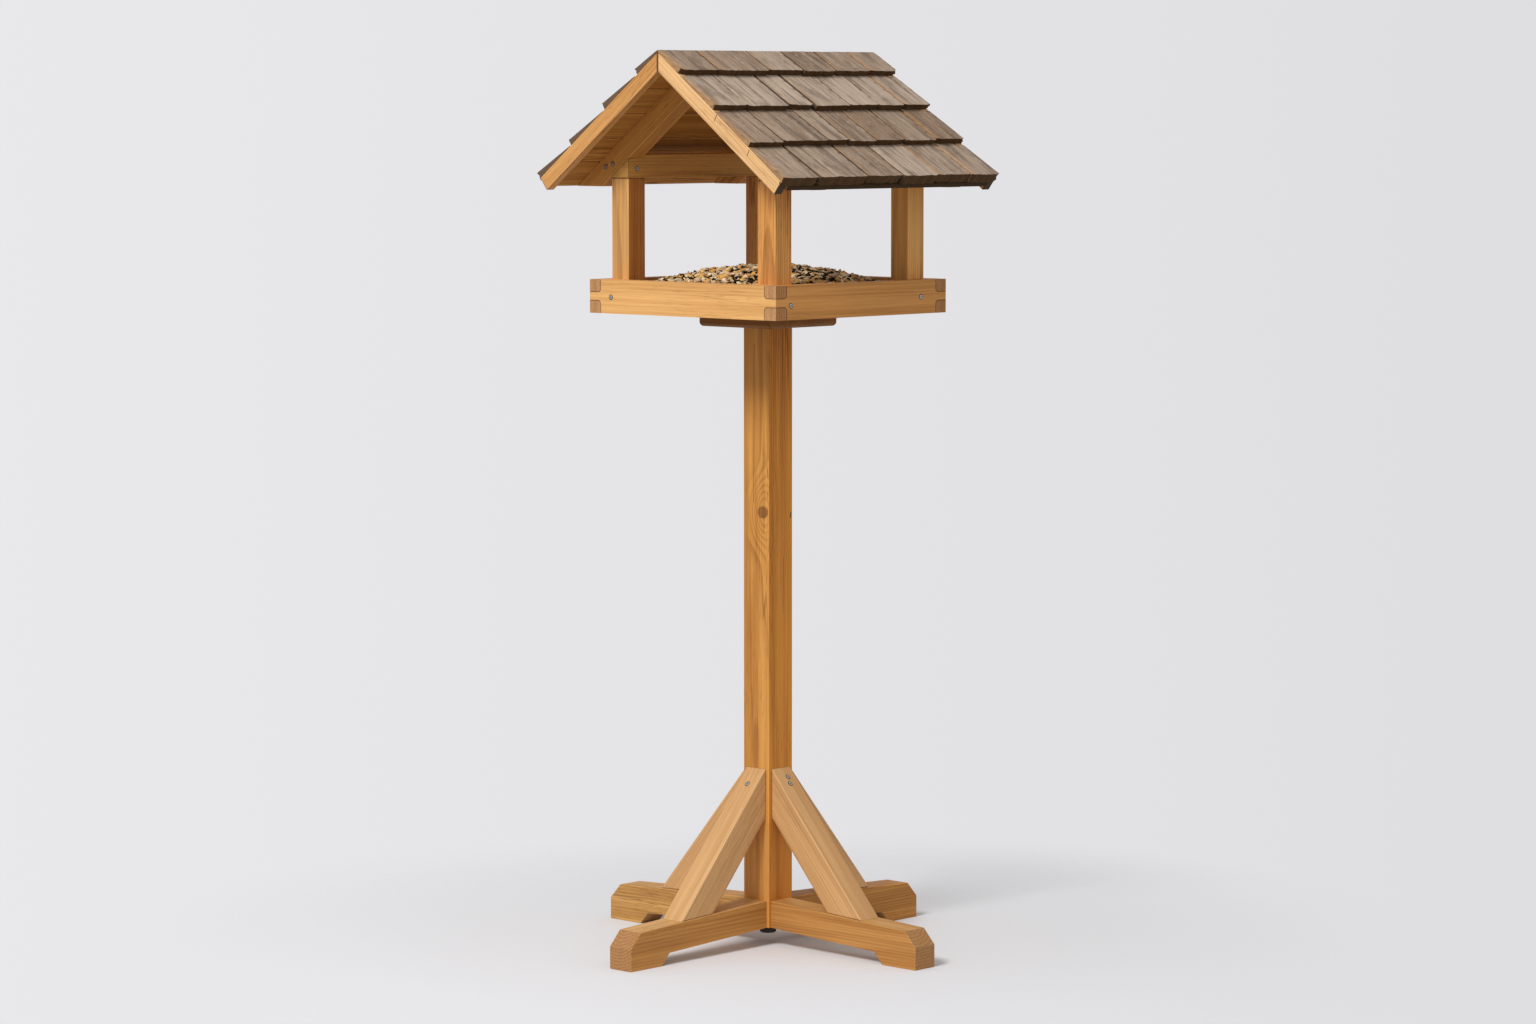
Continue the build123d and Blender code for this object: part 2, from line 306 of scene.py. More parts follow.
def weatheredShake():
    look = shakeLook
    finish, wire = newFinish("weatheredShake")
    grain = wire.attribute("grain", "Vector")
    tone = wire.attribute("tone")
    side = wire.attribute("splitSide")
    butt = wire.attribute("buttEnd")
    edgeLight = wire.attribute("edgeGlow")
    fresh = wire.attribute("fresh")
    groove = grain.pattern(look["groove"])
    thread = grain.pattern(look["thread"])
    blotch = grain.pattern(look["blotch"])
    silvered = tone * look["toneShare"] + groove.share(look["groove"])
    face = silvered.blend(look["brown"], look["silver"])
    face = grain.pattern(look["streak"]).share(look["streak"]).blend(face, look["stain"])
    face = thread.share(look["thread"]).blend(face, look["stain"])
    face = grain.pattern(look["cloud"]).share(look["cloud"]).blend(face, look["stain"])
    face = blotch.share(look["blotch"]).blend(face, look["silver"])
    # partly real fresh wood, partly painted light: the fresh strip shows only along the near edge, the side
    # the light falls on
    face = (edgeLight * fresh * groove.share(look["glowGroove"])).blend(face, look["fresh"])
    split = thread.share(look["splitThread"]).blend(look["fresh"], look["brown"])
    # painted shade: split sides darken toward the bottom of the gaps and on the far side
    split = (fresh * edgeLight).blend(look["stain"], split)
    # the butts: dark weathered end grain, partly painted shade
    dark = blotch.share(look["buttBlotch"]).blend(look["butt"], look["buttFleck"])
    colour = side.blend(face, split)
    colour = butt.blend(colour, dark)
    height = groove * look["grooveHeight"] + thread * look["threadHeight"]
    closeFinish(wire, look, {"Base Color": colour, "Roughness": look["roughness"]}, height)
    return finish


# mixed feed: the tone of each seed comes with its mesh
seedLook = {
    "stripes": 520,  # per metre across the seed
    "stripeShift": 5,  # from seed to seed
    "stripeEdge": (0.45, 0.6),
    "mottle": {"scale": (700, 900, 900), "detail": 2.0, "rough": 0.5, "levels": (0.4, 0.7), "share": 0.3},
    "specular": 0.08,
    "relief": 0.0003,
}


def seedFinish(name, dark, light, stripe, roughness):
    look = seedLook
    finish, wire = newFinish(name)
    tone = wire.attribute("tone")
    grain = wire.attribute("grain", "Vector")
    colour = tone.blend(dark, light)
    bands = (grain.part("Y") * look["stripes"] + tone * look["stripeShift"]).fraction()
    colour = (bands.band(*look["stripeEdge"]) * stripe).blend(colour, light)
    mottle = grain.pattern(look["mottle"])
    colour = mottle.share(look["mottle"]).blend(colour, dark)
    closeFinish(wire, look, {"Base Color": colour, "Roughness": roughness}, mottle)
    return finish


# finishes of two colours in fine spots: the husks between the seeds, screw steel, dusty rubber, also used
# for the painted countersink shade
huskLook = {
    "spots": {"scale": (260, 260, 260), "detail": 3.0, "rough": 0.7, "levels": (0.35, 0.7)},
    "colours": ((0.022, 0.012, 0.006, 1), (0.11, 0.06, 0.024, 1)),
    "roughness": 0.9,
    "spotRoughness": 0.0,
    "metallic": 0.0,
    "specular": 0.1,
    "relief": 0.003,
}
steelLook = {
    "spots": {"scale": (900, 900, 900), "detail": 3.0, "rough": 0.6, "levels": (0.35, 0.7)},
    "colours": ((0.62, 0.59, 0.54, 1), (0.36, 0.33, 0.29, 1)),
    "roughness": 0.3,
    "spotRoughness": 0.2,
    "metallic": 1.0,
    "specular": 0.5,
    "relief": 0.0,
}
rubberAndShadeLook = {
    "spots": {"scale": (180, 180, 180), "detail": 3.0, "rough": 0.6, "levels": (0.45, 0.75)},
    "colours": ((0.018, 0.017, 0.016, 1), (0.06, 0.055, 0.05, 1)),
    "roughness": 0.7,
    "spotRoughness": 0.2,
    "metallic": 0.0,
    "specular": 0.5,
    "relief": 0.0003,
}


def spottedFinish(name, look):
    finish, wire = newFinish(name)
    spots = wire.place().pattern(look["spots"])
    colour = spots.band(*look["spots"]["levels"]).blend(*look["colours"])
    roughness = look["roughness"] + spots * look["spotRoughness"]
    values = {"Base Color": colour, "Roughness": roughness, "Metallic": look["metallic"]}
    closeFinish(wire, look, values, spots)
    return finish


# what every piece needs: a clean copy of a node, places from the frame, and its entry in the scene
cleanCopy = {
    "mergeWithin": 0.00002,
    "flatWithin": 0.5,  # degrees between faces that become one
}
facingLimits = {  # how closely a face has to look in a direction, as a cosine
    "square": 0.9,
    "sawnEnd": 0.55,
    "towards": 0.5,
    "eave": 0.3,
    "endArris": 0.25,
}


def pieceName(nodeName):
    first, *rest = nodeName.split("_")
    return first + "".join(word.capitalize() for word in rest or ["timber"])


def mergedCopy(nodeName):
    bm = bmesh.new()
    bm.from_mesh(nodes[nodeName].data)
    bmesh.ops.remove_doubles(bm, verts=bm.verts, dist=cleanCopy["mergeWithin"])
    flat = math.radians(cleanCopy["flatWithin"])
    bmesh.ops.dissolve_limit(bm, angle_limit=flat, verts=bm.verts, edges=bm.edges)
    return bm


def meshFrom(bm, name):
    mesh = bpy.data.meshes.new(name)
    bm.to_mesh(mesh)
    bm.free()
    return mesh


def addObject(name, data):
    made = bpy.data.objects.new(name, data)
    scene.collection.objects.link(made)
    return made


def addPiece(bm, name, finish, replaced=()):
    piece = addObject(name, meshFrom(bm, name))
    piece.data.materials.append(finish)
    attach(piece, "root")
    if replaced:
        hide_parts(*replaced)
    return piece


roofFace = max(nodes["sarking_right"].data.polygons, key=lambda face: face.area * face.normal.z)
roofPitch = math.atan2(roofFace.normal.x, roofFace.normal.z)
slopeDown = {side: Vector((side * math.cos(roofPitch), 0, -math.sin(roofPitch))) for side in (-1, 1)}
slopeOut = {side: Vector((side * math.sin(roofPitch), 0, math.cos(roofPitch))) for side in (-1, 1)}


def sideOf(nodeName):
    return -1 if "left" in nodeName else 1


def middleOf(nodeName):
    low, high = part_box(nodeName)
    return (low + high) / 2


def outwardsOf(nodeName):  # level, from the post to the node
    middle = middleOf(nodeName)
    return Vector((middle.x, middle.y, 0)).normalized()


def braceDirection(nodeName):
    low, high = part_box(nodeName)
    size = high - low
    return (outwardsOf(nodeName) * max(size.x, size.y) - axisZ * size.z).normalized()


# grain direction, tint, figure and end grain of each kind of timber; a right or top tint is painted light
# and shade, lighter or darker for how the light falls on those faces
usualTimber = {"figure": 1.0, "ends": 0.5}  # where a kind says nothing else
timberKinds = {
    "post": {
        "grain": axisZ, "tint": (0.755, 0.352, 0.083), "figure": 1.3, "ends": 0.6,
        "right": (0.77, 0.308, 0.045),  # of the faces to the right, painted shade
    },
    "foot_front": {
        "grain": axisY, "tint": (0.590, 0.285, 0.076), "ends": 1.0,
        "top": (0.690, 0.390, 0.140),  # of the faces that look up, painted light
    },
    "foot_back": {"grain": axisY, "tint": (0.588, 0.270, 0.062), "ends": 1.0},
    "foot_right": {
        "grain": axisX, "tint": (0.620, 0.298, 0.084), "figure": 1.1, "ends": 1.0,
        "top": (0.640, 0.335, 0.100),
    },
    "foot_left": {"grain": axisX, "tint": (0.690, 0.380, 0.120), "ends": 1.0},
    "brace_": {"grain": "brace", "tint": (0.700, 0.400, 0.172), "figure": 0.7, "ends": 0.6},
    "brace_front": {"grain": "brace", "tint": (0.785, 0.462, 0.203), "figure": 0.7, "ends": 0.6},
    # painted shade: this tint is darkened to stand in for the deep shadow under the tray
    "mounting_plate": {"grain": axisX, "tint": (0.265, 0.109, 0.020), "ends": 0.2},
    "tray_floor": {"grain": axisX, "tint": (0.600, 0.250, 0.045)},
    "tray_board_front": {"grain": axisX, "tint": (0.87, 0.476, 0.170), "figure": 0.7},
    "tray_board_back": {"grain": axisX, "tint": (0.85, 0.465, 0.165), "figure": 0.8},
    "tray_board_": {"grain": axisY, "tint": (0.79, 0.368, 0.102), "figure": 1.1},
    "upright_": {"grain": axisZ, "tint": (0.73, 0.338, 0.090), "figure": 1.2},
    # painted shade: the right tint darkens the inner face that lies in the roof's shadow
    "upright_front_left": {"grain": axisZ, "tint": (0.79, 0.430, 0.150), "right": (0.56, 0.215, 0.040)},
    "upright_front_right": {
        "grain": axisZ, "tint": (0.74, 0.343, 0.094), "figure": 1.2,
        # painted light: the right tint brightens this face
        "right": (0.88, 0.430, 0.120),
    },
    "upright_back_right": {"grain": axisZ, "tint": (0.94, 0.505, 0.155), "figure": 1.1},
    "wall_plate_": {"grain": axisY, "tint": (0.700, 0.358, 0.083), "ends": 0.15},
    "rafter_": {"grain": "slope", "tint": (0.71, 0.340, 0.080), "ends": 0.3},
    "barge_board_": {"grain": "slope", "tint": (0.920, 0.565, 0.264), "figure": 0.9, "ends": 0.4},
    "barge_board_front_left": {"grain": "slope", "tint": (0.79, 0.405, 0.135), "figure": 1.1, "ends": 0.4},
    "sarking_": {"grain": axisY, "tint": (0.620, 0.298, 0.076), "figure": 1.2},
    "corner_keys_": {
        "grain": axisZ, "tint": (0.78, 0.435, 0.212), "ends": 0.6,
        # painted shade: the right faces of the keys are darker
        "right": (0.645, 0.277, 0.090),
    },
}
timberSlots = {"tray_floor": "sawn_board", "sarking": "sawn_board", "corner_keys": "end_grain"}
jointedKinds = ("upright", "brace", "wall_plate", "rafter", "barge_board")  # a dark joint at their ends
weathering = {
    "eaveBand": 0.002,  # how far up the slope the lowest ends are weathered
    "joint": 0.5,
    "keyLine": 0.9,
    "keyLineWidth": 0.0013,  # of the dark joint round a key
    "keyEdge": 0.0018,  # what lies nearer to the outside than this is on it
}
timberShape = {
    "arris": 0.0015,  # easing of the long edges
    "fineArris": 0.0006,  # of edges that meet a close joint
    "shortestEdge": 0.011,  # shorter ones stay sharp
    "sharpBend": 25,  # degrees
    "segments": 2,
    "tintSpread": 0.05,
}
sawnFrom = {"along": (0, 40), "across": (-0.02, 0.02), "fromPith": (0.03, 0.075)}  # where in the log


def slotOf(nodeName):
    return next((slot for start, slot in timberSlots.items() if nodeName.startswith(start)), "oiled_timber")


def kindOf(nodeName):
    matches = [key for key in timberKinds if nodeName.startswith(key)]
    return {**usualTimber, **timberKinds[max(matches, key=len)]} if matches else None


def grainDirection(nodeName):
    grain = kindOf(nodeName)["grain"]
    if grain == "brace":
        return braceDirection(nodeName)
    return slopeDown[sideOf(nodeName)] if grain == "slope" else grain


def grainFrame(direction):
    level = abs(direction.z) < facingLimits["square"]
    across = direction.cross(axisZ if level else axisY).normalized()
    return direction, across, direction.cross(across)


def grainOffset(rng):
    return Vector([rng.uniform(*sawnFrom[way]) for way in ("along", "across", "fromPith")])


def inGrain(place, axes):
    return Vector([place.dot(axis) for axis in axes])


def grainPlace(nodeName, point):  # a point of the object in the grain coordinates of one piece
    rng = random.Random(nodeName)
    axes = grainFrame(grainDirection(nodeName))
    return inGrain(Vector(point) - middleOf(nodeName), axes) + grainOffset(rng)


def eased(bm, arris):
    sharpBend, shortest = math.radians(timberShape["sharpBend"]), timberShape["shortestEdge"]
    sharp = []
    for edge in bm.edges:
        if edge.calc_face_angle(0) > sharpBend and edge.is_convex and edge.calc_length() > shortest:
            sharp.append(edge)
    result = bmesh.ops.bevel(
        bm, geom=sharp, offset=arris, offset_type="OFFSET", affect="EDGES",
        segments=timberShape["segments"], profile=0.5, material=-1, clamp_overlap=True,
    )
    return result["faces"]


def belowOuter(nodeName, point):  # how far a point of a key lies inside the tray's two outer faces
    low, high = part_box(nodeName)
    return [max(abs(low[axis]), abs(high[axis])) - abs(point[axis]) for axis in range(2)]


def keyJoints(bm, nodeName):  # a narrow strip round each outer face of a key
    outer = []
    for face in bm.faces:
        below = belowOuter(nodeName, face.calc_center_median())
        for axis, depth in enumerate(below):
            if abs(face.normal[axis]) > facingLimits["square"] and depth < weathering["keyEdge"]:
                outer.append(face)
    width = weathering["keyLineWidth"]
    return bmesh.ops.inset_individual(bm, faces=outer, thickness=width, use_even_offset=True)["faces"]


def meetsBoard(face, nodeName):  # whether a strip of a key lies along a board, not on the tray's outside
    low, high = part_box(nodeName)
    inside = weathering["keyEdge"]
    centre = face.calc_center_median()
    return low.z + inside < centre.z < high.z - inside and max(belowOuter(nodeName, centre)) > inside


# painted light and shade: faces that look right or up take their own lighter or darker tint
def tintWithPaintedLight(kind, normal):
    towards = facingLimits["towards"]
    facing = "right" if normal.x > towards else "top" if normal.z > towards else "tint"
    return kind.get(facing, kind["tint"])


def weatherAndShadeRoofBoard(bm, nodeName, weatherAndShadeLayer):  # its weathered lowest end, and the sarking under the shakes, painted near black as shade in the gaps
    down = slopeDown[sideOf(nodeName)]
    reach = max(v.co.dot(down) for v in bm.verts) - weathering["eaveBand"]
    for face in bm.faces:
        lowest = face.calc_center_median().dot(down) > reach
        atEave = lowest and face.normal.dot(down) > facingLimits["eave"]
        # painted shade: the sarking's upper faces go dark where the gaps between shakes show them
        shadedUnderShakes = nodeName.startswith("sarking") and face.normal.z > facingLimits["towards"]
        if atEave or shadedUnderShakes:
            face[weatherAndShadeLayer] = 1


def dressTimber(nodeName, kind, finish):
    rng = random.Random(nodeName)
    bm = mergedCopy(nodeName)
    grainLayer = bm.verts.layers.float_vector.new("grain")
    tintLayer = bm.faces.layers.float_color.new("tint")
    figureLayer = bm.verts.layers.float.new("figure")
    cutLayer = bm.faces.layers.float.new("cutFace")
    wornLayer = bm.faces.layers.float.new("wornEdge")
    weatherAndShadeLayer = bm.faces.layers.float.new("weather")
    arris = timberShape["fineArris" if nodeName.startswith("tray_board") else "arris"]
    direction = grainDirection(nodeName)
    isKey = nodeName.startswith("corner_keys")
    jointed = nodeName.startswith(jointedKinds)
    for face in keyJoints(bm, nodeName) if isKey else eased(bm, arris):
        atEnd = jointed and abs(face.normal.dot(direction)) > facingLimits["endArris"]
        atBoard = isKey and meetsBoard(face, nodeName)
        face[wornLayer] = float(not atEnd and not isKey)
        face[weatherAndShadeLayer] = weathering["joint"] * atEnd + weathering["keyLine"] * atBoard
    axes = grainFrame(direction)
    middle = middleOf(nodeName)
    shift = grainOffset(rng)
    strength = 1 + rng.uniform(-1, 1) * timberShape["tintSpread"]
    for vert in bm.verts:
        vert[grainLayer] = inGrain(vert.co - middle, axes) + shift
        vert[figureLayer] = kind["figure"]
    for face in bm.faces:
        atEnd = abs(face.normal.dot(direction)) > facingLimits["sawnEnd"]
        face[tintLayer] = Vector([channel * strength for channel in tintWithPaintedLight(kind, face.normal)] + [1])
        face[cutLayer] = kind["ends"] * (isKey or atEnd)
    if nodeName.startswith(("sarking", "barge")):
        weatherAndShadeRoofBoard(bm, nodeName, weatherAndShadeLayer)
    return addPiece(bm, pieceName(nodeName), finish, [nodeName])


# the marks that single timbers carry, across and up a face, in metres
postMarks = {
    "knots": [
        {"face": "front", "at": (0.0165, 0.784), "radius": 0.0122, "reach": 0.027},
    ],
    "cracks": [
        {"face": "front", "from": (-0.006, 0.80), "to": (-0.0045, 1.085), "width": 0.0006},
        {"face": "right", "from": (0.0255, 0.7725), "to": (0.0270, 0.7810), "width": 0.0016},
        {"face": "right", "from": (0.006, 0.60), "to": (0.008, 0.70), "width": 0.0005},
    ],
}
bargeMarks = {
    "knots": [],
    "cracks": [
        {"face": "front", "from": (0.1485, 1.503), "to": (0.1365, 1.482), "width": 0.0010},
        {"face": "front", "from": (0.2195, 1.4335), "to": (0.2140, 1.4235), "width": 0.0009},
    ],
}


def markedTimber(name, nodeName, marks):
    low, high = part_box(nodeName)

    def placed(mark, key):  # in the grain coordinates of the timber
        across, level = mark[key]
        point = (across, low.y, level) if mark["face"] == "front" else (high.x, across, level)
        return grainPlace(nodeName, point)

    knots = [(placed(knot, "at"), knot["radius"], knot["reach"]) for knot in marks["knots"]]
    cracks = [(placed(crack, "from"), placed(crack, "to"), crack["width"]) for crack in marks["cracks"]]
    return oiledTimber(name, knots, cracks)


plainTimber = oiledTimber("oiledTimber")
sawnTimber = oiledTimber("sawnTimber", look=sawnLook)
markedFinishes = {
    "post": markedTimber("knottyPost", "post", postMarks),
    "barge_board_front_right": markedTimber("splitBarge", "barge_board_front_right", bargeMarks),
}
for nodeName in sorted(nodes):
    kind = kindOf(nodeName)
    if kind:
        usual = sawnTimber if slotOf(nodeName) == "sawn_board" else plainTimber
        dressTimber(nodeName, kind, markedFinishes.get(nodeName, usual))
print("timber dressed")


# shakes: each wedge of a course is sliced into a grid, then split and worn
shakeShape = {
    "slice": 0.0065,  # grid along and across a shake
    "thinSlice": 0.003,  # through its thickness
    "sliceWithin": 0.00001,
    "seeds": (0, 90),  # range of the number that sets one shake's waves apart
    "broadGroove": {"across": 95, "along": 4, "share": 0.6},  # waves per metre
    "fineGroove": {"across": 260, "along": 9, "share": 0.4},
    "grooveDepth": 0.0011,
    "lift": (-0.0006, 0.0012),  # of the butt
    "buttRagged": 0.0045,
    "raggedReach": 0.012,  # from the butt up the shake
    "tooth": {"across": 38, "share": 0.7},
    "fineTooth": {"across": 130, "layer": 3, "share": 0.35},
    "splinter": {"across": 70, "up": 300, "share": 0.25},
    "cornerReach": 0.007,
    "cornerShare": 0.8,
    "sideWander": 0.0009,
    "sideWaves": 22,
    "sideMean": 0.5,
    "onEdge": 0.0002,  # a vertex nearer than this lies on the edge
    "ridgeJoint": 0.002,  # how far from the ridge the heads lie that close up there
    "ridgeGap": 0.0001,
    "vergeWithin": 0.001,
    "topFacing": 0.35,  # cosines, as in facingLimits
    "cutFacing": 0.7,
    "sharpBend": 38,  # degrees
    "sortDigits": 5,
}
shakeTones = {
    "courses": {"ridge": 0.35, "upper": 1.0, "lower": 0.2, "eave": 0.57},
    "spread": 0.45,
    "fresh": (0.1, 0.25, 0.5, 1.0),
    "vergeFresh": {1: 1.0, -1: 0.15},  # right and left slope
    # glow: painted light along the near edge of a shake's top, fading down its split side as painted shade
    "glowWidth": 0.016,
    "glow": (0.5, 1.0),
    "grainShift": (1, 0.7, 0.3),  # by the shake's seed
}


def islandsOf(bm):  # the loose shakes of a course, from front to back
    left = set(bm.verts)
    islands = []
    while left:
        island, queue = set(), [left.pop()]
        while queue:
            vert = queue.pop()
            island.add(vert)
            for edge in vert.link_edges:
                other = edge.other_vert(vert)
                if other in left:
                    left.discard(other)
                    queue.append(other)
        islands.append(island)
    return sorted(islands, key=lambda island: min(v.co.y for v in island))


def sliced(bm, geometry, direction, spacing):
    levels = [g.co.dot(direction) for g in geometry if isinstance(g, bmesh.types.BMVert)]
    low, high = min(levels), max(levels)
    count = max(1, round((high - low) / spacing))
    for index in range(1, count):
        place = direction * (low + (high - low) * index / count)
        within = shakeShape["sliceWithin"]
        cut = bmesh.ops.bisect_plane(bm, geom=geometry, dist=within, plane_co=place, plane_no=direction)
        geometry = cut["geom"]
    return geometry


def wave(a, b, c=0.0):
    return noise.noise(Vector((a, b, c)))


def grooveHeight(u, w, seed):
    broad, fine = shakeShape["broadGroove"], shakeShape["fineGroove"]
    deep = wave(w * broad["across"] + seed, u * broad["along"], seed) * broad["share"]
    return deep + wave(w * fine["across"], u * fine["along"], seed) * fine["share"]


def raggedness(w, seed):
    tooth, fine = shakeShape["tooth"], shakeShape["fineTooth"]
    coarse = abs(wave(w * tooth["across"] + seed, seed)) * tooth["share"]
    return coarse + abs(wave(w * fine["across"], seed, fine["layer"])) * fine["share"]


def splitShake(verts, sideSign, verge, courseTone, layers, rng):
    shape, tones = shakeShape, shakeTones
    down, out = slopeDown[sideSign], slopeOut[sideSign]
    seed = rng.uniform(*shape["seeds"])
    us = [v.co.dot(down) for v in verts]  # down the slope
    ws = [v.co.y for v in verts]  # along the ridge
    head, butt = min(us), max(us)
    nearSide, farSide = min(ws), max(ws)
    tone = courseTone + rng.uniform(-1, 1) * tones["spread"]
    lift = rng.uniform(*shape["lift"])
    fresh = rng.choice(tones["fresh"])
    if verge:
        fresh = tones["vergeFresh"][sideSign]
    moves = {}
    for vert, u, w in zip(verts, us, ws):
        top = vert.normal.dot(out) > shape["topFacing"]
        fromButt = butt - u
        toSide = min(w - nearSide, farSide - w)
        shift = Vector((0, 0, 0))
        if top:
            raised = lift * (u - head) / (butt - head)
            shift += out * (grooveHeight(u, w, seed) * shape["grooveDepth"] + raised)
        if fromButt < shape["raggedReach"]:
            corner = max(0.0, 1 - toSide / shape["cornerReach"]) * rng.random() * shape["cornerShare"]
            share = 1 - fromButt / shape["raggedReach"]
            shift -= down * (shape["buttRagged"] * (raggedness(w, seed) + corner) * share)
            if fromButt < shape["onEdge"] and not top:
                splinter = shape["splinter"]
                length = abs(wave(w * splinter["across"], seed, vert.co.z * splinter["up"]))
                shift -= down * (shape["buttRagged"] * splinter["share"] * length)
        if toSide < shape["onEdge"] and not verge:
            inwards = 1 if w - nearSide < farSide - w else -1
            wander = shape["sideMean"] + wave(u * shape["sideWaves"] + seed, w)
            shift.y += inwards * shape["sideWander"] * wander
        if abs(vert.co.x) < shape["ridgeJoint"]:
            shift.x = sideSign * shape["ridgeGap"] - vert.co.x
        moves[vert] = shift
        # painted light on the near edge only, fading to painted shade down the split side
        glow = max(0.0, 1 - (w - nearSide) / tones["glowWidth"]) * (top or verge)
        vert[layers["grain"]] = Vector((u, w, vert.co.dot(out))) + Vector(tones["grainShift"]) * seed
        vert[layers["tone"]] = tone
        vert[layers["glow"]] = glow * rng.uniform(*tones["glow"])
        vert[layers["fresh"]] = fresh
    for vert, shift in moves.items():
        vert.co += shift


def dressShakes(nodeName, finish):
    shape = shakeShape
    rng = random.Random(nodeName)
    side = sideOf(nodeName)
    down, out = slopeDown[side], slopeOut[side]
    bm = mergedCopy(nodeName)
    layers = {
        "grain": bm.verts.layers.float_vector.new("grain"),
        "tone": bm.verts.layers.float.new("tone"),
        "glow": bm.verts.layers.float.new("edgeGlow"),
        "fresh": bm.verts.layers.float.new("fresh"),
    }
    sideLayer = bm.faces.layers.float.new("splitSide")
    buttLayer = bm.faces.layers.float.new("buttEnd")
    for island in islandsOf(bm):
        edges = {e for v in island for e in v.link_edges}
        faces = {f for v in island for f in v.link_faces}
        geometry = [*island, *edges, *faces]
        for direction, spacing in ((axisY, "slice"), (down, "slice"), (out, "thinSlice")):
            geometry = sliced(bm, geometry, direction, shape[spacing])
    bm.normal_update()
    for face in bm.faces:
        face[sideLayer] = float(abs(face.normal.y) > shape["cutFacing"])
        face[buttLayer] = float(face.normal.dot(down) > shape["cutFacing"])
    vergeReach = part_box(nodeName)[1].y - shape["vergeWithin"]
    courseTone = shakeTones["courses"][nodeName.split("_")[-1]]

    def gridPlace(vert):
        return [round(level, shape["sortDigits"]) for level in (vert.co.y, vert.co.dot(down), vert.co.z)]

    for island in islandsOf(bm):
        verge = max(abs(v.co.y) for v in island) > vergeReach
        splitShake(sorted(island, key=gridPlace), side, verge, courseTone, layers, rng)
    bm.normal_update()
    piece = addPiece(bm, pieceName(nodeName), finish, [nodeName])
    piece.data.shade_smooth()
    piece.data.set_sharp_from_angle(angle=math.radians(shape["sharpBend"]))
    return piece


shakeFinish = weatheredShake()
for nodeName in sorted(n for n in nodes if n.startswith("shakes_")):
    dressShakes(nodeName, shakeFinish)
print("shakes split")


# the feed: a bed of husks with seeds laid over it
feedShape = {
    "spacing": 0.0074,
    "jitter": 0.6,  # in spacings
    "bedSink": 0.003,
    "seedSink": 0.001,
    "margin": 0.006,
    "atSide": 0.0001,  # a vertex nearer than this lies on the heap's side
    "mound": {"waves": 22, "layer": 4, "height": 0.004},  # waves per metre
    "hollow": {"waves": 60, "layer": 9, "height": 0.002},
    "tilt": 0.35,  # spread, radians
    "roll": 0.5,
    "growth": (0.8, 1.15),
    "lift": (-0.001, 0.0018),
    "grainShift": (9, 0, 5),  # by the seed's tone
    "sectors": 8,
    "rings": 6,
    "randomStart": 11,
}
seedKinds = {
    "blackSunflower": {
        "size": (0.0076, 0.0041, 0.0030), "share": 0.30, "point": 0.55, "stripe": 0.1, "rough": 0.8,
        "colours": ((0.012, 0.007, 0.004, 1), (0.045, 0.026, 0.014, 1)),
    },
    "stripedSunflower": {
        "size": (0.0084, 0.0044, 0.0030), "share": 0.14, "point": 0.55, "stripe": 0.8, "rough": 0.75,
        "colours": ((0.05, 0.03, 0.018, 1), (0.70, 0.52, 0.33, 1)),
    },
    "crackedMaize": {
        "size": (0.0060, 0.0050, 0.0037), "share": 0.11, "point": 0.2, "stripe": 0.0, "rough": 0.55,
        "colours": ((0.62, 0.29, 0.055, 1), (0.84, 0.52, 0.16, 1)),
    },
    "wheatGrain": {
        "size": (0.0058, 0.0030, 0.0026), "share": 0.22, "point": 0.15, "stripe": 0.0, "rough": 0.6,
        "colours": ((0.44, 0.22, 0.07, 1), (0.72, 0.44, 0.18, 1)),
    },
    "oatFlake": {
        "size": (0.0072, 0.0052, 0.0020), "share": 0.23, "point": 0.1, "stripe": 0.0, "rough": 0.75,
        "colours": ((0.68, 0.46, 0.24, 1), (0.92, 0.76, 0.52, 1)),
    },
}


def seedShape(kind):  # one seed, pointed at one end
    sectors, rings = feedShape["sectors"], feedShape["rings"]
    bm = bmesh.new()
    bmesh.ops.create_uvsphere(bm, u_segments=sectors, v_segments=rings, radius=1)
    bmesh.ops.rotate(bm, verts=bm.verts, matrix=Matrix.Rotation(math.radians(90), 3, "Y"))
    for vert in bm.verts:
        taper = 1 - kind["point"] * (vert.co.x + 1) / 2
        vert.co.y *= taper
        vert.co.z *= taper
    bmesh.ops.scale(bm, vec=kind["size"], verts=bm.verts)
    return meshFrom(bm, "seed")


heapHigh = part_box("seed_heap")[1]
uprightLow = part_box("upright_back_right")[0]
heapSide = heapHigh.x - feedShape["atSide"]
heapEdge = max(v.co.z for v in nodes["seed_heap"].data.vertices if v.co.x > heapSide)
heapFall = heapHigh.z - heapEdge
heapRadius = (heapHigh.x**2 + heapFall**2) / (2 * heapFall)  # of the dome


def heapLevel(x, y):
    dome = math.sqrt(heapRadius**2 - x * x - y * y) - heapRadius
    level = heapHigh.z - feedShape["seedSink"] + dome
    for ripple in (feedShape["mound"], feedShape["hollow"]):
        level += wave(x * ripple["waves"], y * ripple["waves"], ripple["layer"]) * ripple["height"]
    return level


def overTray(x, y):
    margin = feedShape["margin"]
    inTray = abs(x) < heapHigh.x - margin and abs(y) < heapHigh.y - margin
    atUpright = abs(x) > uprightLow.x - margin and abs(y) > uprightLow.y - margin
    return inTray and not atUpright


def layHuskBed():
    bm = mergedCopy("seed_heap")
    bmesh.ops.triangulate(bm, faces=bm.faces)
    top = [f for f in bm.faces if f.normal.z > facingLimits["towards"]]
    lowered = {v for f in top for v in f.verts}
    bmesh.ops.translate(bm, verts=list(lowered), vec=(0, 0, -feedShape["bedSink"]))
    addPiece(bm, "huskBed", spottedFinish("huskBed", huskLook), ["seed_heap"])


